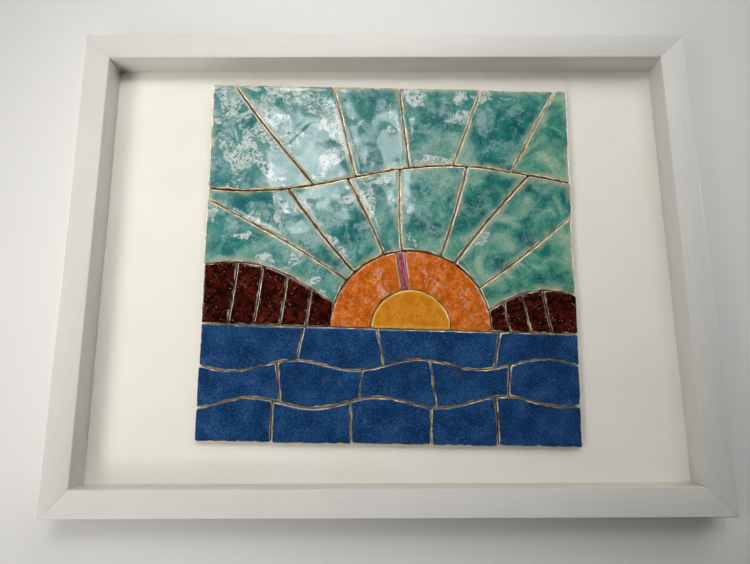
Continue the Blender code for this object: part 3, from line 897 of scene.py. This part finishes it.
def hardboard():
    """Hot-pressed wood fibre, with short fibres along and across."""
    material, tree = new_material("pressed_hardboard")
    here = add(tree, "TexCoord", out="Object")
    tones = []
    for wide, high in ((FIBRE_LENGTH, FIBRE_WIDTH), (FIBRE_WIDTH, FIBRE_LENGTH)):
        scale = (1 / wide, 1 / MM, 1 / high)
        place = add(tree, "Mapping", {"Vector": here, "Scale": scale})
        inputs = {"Vector": place, "Scale": 1.0, "Detail": 5, "Roughness": 0.7}
        tones.append(add(tree, "TexNoise", inputs))
    tone = add(tree, "Math", {0: tones[0], 1: tones[1]}, operation="ADD")
    tone = add(tree, "Math", {0: tone, 1: 0.5}, operation="MULTIPLY")
    browns = [(0.38, "#785637"), (0.50, "#8a6643"), (0.62, "#9b7650")]
    colour = add(tree, "ValToRGB", {0: tone}, stops=browns)
    skin = add(tree, "Bump", {"Height": tone, "Distance": FIBRE_HEIGHT})
    inputs = {"Base Color": colour, "Roughness": 0.7, "Normal": skin}
    add(tree, "OutputMaterial", {"Surface": add(tree, "BsdfPrincipled", inputs)})
    return material


for name, material in (("mount_card", mount_card()), ("back_panel", hardboard())):
    nodes[name].data.materials.clear()
    nodes[name].data.materials.append(material)
    print(f"{name}: {material.name}")

# %% [markdown]
# ## Wall, floor and room
# The panel hangs flat on a pale wall, above a pale floor. Two plain sheets would do, but they
# have edges, and far from the lamps they get dark. So their paint thins out to nothing away from
# the panel, and a plain pale room shows there. The room is only something to look at: it neither
# lights the panel nor shows in the glaze. The wall is clear from behind, so that the back of the
# panel can be looked at too, and it casts no shadow on it.

# %% Wall, floor and room
WALL_GAP = 0.5 * MM
FLOOR_Z = -0.55
SHEET_SIZE = 6.0
ROOM_SIZE = 12.0
PAINT_THINS = (0.36, 1.0)


def matt_paint(name, colour, clear_behind=False):
    """Paint that thins out away from the middle of its sheet."""
    material, tree = new_material(name)
    clear = add(tree, "BsdfTransparent")
    here = add(tree, "TexCoord", out="Object")
    away = add(tree, "VectorMath", {0: here}, out="Value", operation="LENGTH")
    thinned = add(tree, "MapRange", {0: away, 1: PAINT_THINS[0], 2: PAINT_THINS[1]}, **SOFT)
    paint = add(tree, "BsdfDiffuse", {"Color": colour})
    paint = add(tree, "MixShader", {0: thinned, 1: paint, 2: clear})
    if clear_behind:
        behind = add(tree, "NewGeometry", out="Backfacing")
        paint = add(tree, "MixShader", {0: behind, 1: paint, 2: clear})
    add(tree, "OutputMaterial", {"Surface": paint})
    return material


def pale_glow(name, colour):
    """A surface that has its colour without any lamp."""
    material, tree = new_material(name)
    add(tree, "OutputMaterial", {"Surface": add(tree, "Emission", {"Color": colour})})
    return material


def staged(name, block, place, paint):
    """A piece of the stage. It shows to the camera alone."""
    mesh = bpy.data.meshes.new(name)
    block.to_mesh(mesh)
    block.free()
    mesh.materials.append(paint)
    made = bpy.data.objects.new(name, mesh)
    made.location = place
    bpy.context.scene.collection.objects.link(made)
    made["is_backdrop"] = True
    made.visible_shadow = made.visible_diffuse = made.visible_glossy = False
    return made


def sheet():
    """A square sheet that lies flat."""
    block = bmesh.new()
    bmesh.ops.create_grid(block, x_segments=1, y_segments=1, size=SHEET_SIZE / 2)
    return block


wall_paint = matt_paint("wall_paint", "#e9e8e6", clear_behind=True)
wall = staged("wall", sheet(), (0, highest.y + WALL_GAP, middle.z), wall_paint)
wall.rotation_euler.x = math.radians(90)
staged("floor", sheet(), (0, 0, FLOOR_Z), matt_paint("floor_paint", "#efedea"))
block = bmesh.new()
bmesh.ops.create_cube(block, size=ROOM_SIZE)
staged("room", block, (0, 0, 0), pale_glow("room_glow", "#cfcecb"))
print(f"floor {-FLOOR_Z} m below the top rail, room {ROOM_SIZE} m across")

# %% [markdown]
# ## Light
# The room has a window behind the camera. Its two panes are what one sees in the glaze, broken
# up by the swells. The soft lights stand for the rest of the room. Most of them are at the left,
# some with a narrow beam, so that the panel gets darker towards the right, and the glaze doesn't
# show them. Three glints stand for other windows. They are seen only as bright lines on the
# melted rims, so they reach the tiles alone and add nothing to their colour. Three lamps stand
# behind the wall, for the sides and the back of the panel alone. One large lamp would be simpler,
# but it would light the wall, the card and the frame alike, and they differ in a real room. To
# balance so many, each was first rendered alone, a fit of those renders gave the first strengths,
# and the rest was set one by one.

# %% Lamps and sky
PANEL = (-0.10, 0.0, -0.06)
LOWER_LEFT = (-0.18, 0.0, -0.19)
UPPER_RIGHT = (0.12, 0.0, -0.08)
WIDE = 180
# name: (place, aim, width, height, watts, spread in degrees, colour)
LAMPS = {
    "window_wide_pane": ((-0.265, -1.6, 0.58), PANEL, 0.290, 0.36, 2.7, WIDE, "#f2f5fa"),
    "window_slim_pane": ((0.045, -1.6, 0.58), PANEL, 0.115, 0.36, 1.1, WIDE, "#f2f5fa"),
    "soft_left": ((-0.90, -1.10, -0.10), PANEL, 0.60, 0.60, 3.0, WIDE, "#fffcf6"),
    "soft_right": ((0.60, -0.60, 0.30), PANEL, 0.40, 0.40, 1.0, WIDE, "#ffffff"),
    "soft_above": ((-0.04, -0.50, 0.50), PANEL, 0.30, 0.30, 0.3, WIDE, "#fffdf8"),
    "soft_beam_left": ((-0.53, -0.49, -0.27), PANEL, 0.28, 0.28, 0.14, 70, "#fffcf6"),
    "soft_beam_top": ((-0.02, -0.80, 0.35), PANEL, 0.30, 0.30, 0.27, 50, "#fffdf8"),
    "soft_beam_right": ((0.35, -0.60, 0.50), UPPER_RIGHT, 0.30, 0.30, 0.14, 50, "#ffffff"),
    "soft_beam_low": ((-0.45, -0.50, -0.60), LOWER_LEFT, 0.28, 0.28, 0.22, 70, "#fffcf6"),
    "soft_beam_below": ((-0.35, -0.45, -0.80), LOWER_LEFT, 0.40, 0.40, 0.16, 90, "#ffffff"),
    "back_lamp": ((0.50, 1.40, 0.40), PANEL, 0.90, 0.90, 9.0, WIDE, "#ffffff"),
    "back_lamp_right": ((2.20, 0.75, 0.40), PANEL, 1.20, 1.20, 4.0, 50, "#ffffff"),
    "back_lamp_left": ((-2.20, 0.75, 0.40), PANEL, 1.20, 1.20, 4.0, 50, "#ffffff"),
    "glint_left": ((-0.95, -0.70, 0.25), PANEL, 0.20, 0.60, 16.0, WIDE, "#ffffff"),
    "glint_above": ((0.05, -0.45, 0.85), PANEL, 0.70, 0.15, 15.0, WIDE, "#ffffff"),
    "glint_right": ((0.90, -0.60, 0.30), PANEL, 0.15, 0.50, 11.0, WIDE, "#ffffff"),
}
SKY_COLOUR = "#f4f3f1"
SKY_STRENGTH = 0.02


def lamp(name, place, aim, width, height, watts, spread, colour):
    """A soft rectangular light that faces its aim."""
    light = bpy.data.lights.new(name, "AREA")
    light.shape = "RECTANGLE"
    light.size, light.size_y = width, height
    light.energy = watts
    light.spread = math.radians(spread)
    light.color = srgb(colour)[:3]
    made = bpy.data.objects.new(name, light)
    made.location = place
    made.rotation_euler = (Vector(aim) - Vector(place)).to_track_quat("-Z", "Y").to_euler()
    bpy.context.scene.collection.objects.link(made)
    return made


for name, setting in LAMPS.items():
    made = lamp(name, *setting)
    made.visible_glossy = not name.startswith("soft")
    if name.startswith("glint"):
        made.visible_diffuse = False
        made.light_linking.receiver_collection = glazed_tiles
sky = bpy.data.worlds.new("sky")
sky.use_nodes = True
sky_light = sky.node_tree.nodes["Background"].inputs
sky_light["Color"].default_value = srgb(SKY_COLOUR)
sky_light["Strength"].default_value = SKY_STRENGTH
bpy.context.scene.world = sky
print(f"{len(LAMPS)} lamps and a dim sky")

# %% [markdown]
# ## Sizes
# A dressed piece must not outgrow its solid model, or it won't fit where the model says. So the
# box round everything is measured again here and kept beside the one from the start.

# %% Sizes, and the end
boxes = {"cad": cad_box, "visual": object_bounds()}
for name, (low, high) in boxes.items():
    print(name, [round(side / MM, 2) for side in high - low], "mm")
